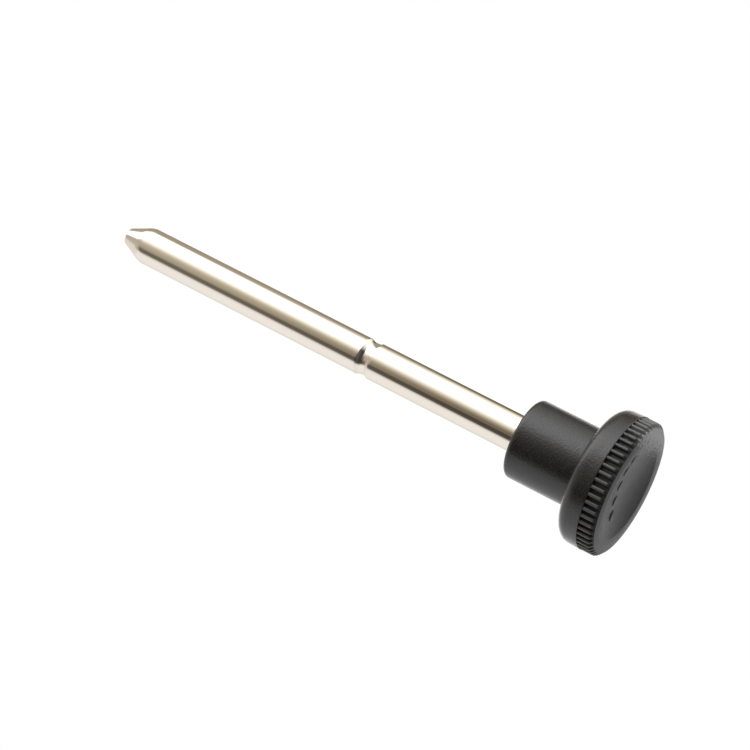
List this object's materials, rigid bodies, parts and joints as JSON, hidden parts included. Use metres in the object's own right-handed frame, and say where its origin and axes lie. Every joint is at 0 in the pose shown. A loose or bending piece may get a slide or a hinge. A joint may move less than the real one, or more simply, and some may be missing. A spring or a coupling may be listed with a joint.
{
  "type": "quick release pin",
  "caption": "Straight steel locking pin with a bullet tip and a detent groove, moulded into a round black thumb knob with a ribbed rim and dished face.",
  "frame": {"origin": "on the pin's axis, in the plane of the knob's flat foot ring, on which the pin stands", "axes": "+Z along the pin's axis from the knob's face to the tip; -Y is the side that the picture is taken from"},
  "size_m": [0.0342, 0.0342, 0.1428],
  "materials": {
    "shaft_steel": "ground and polished stainless steel, warm grey",
    "knob_plastic": "moulded black plastic with a fine spark-eroded grain, smooth ribs"
  },
  "bodies": {
    "root": {"shaft": "shaft_steel", "knob": "knob_plastic"}
  },
  "joints": []
}
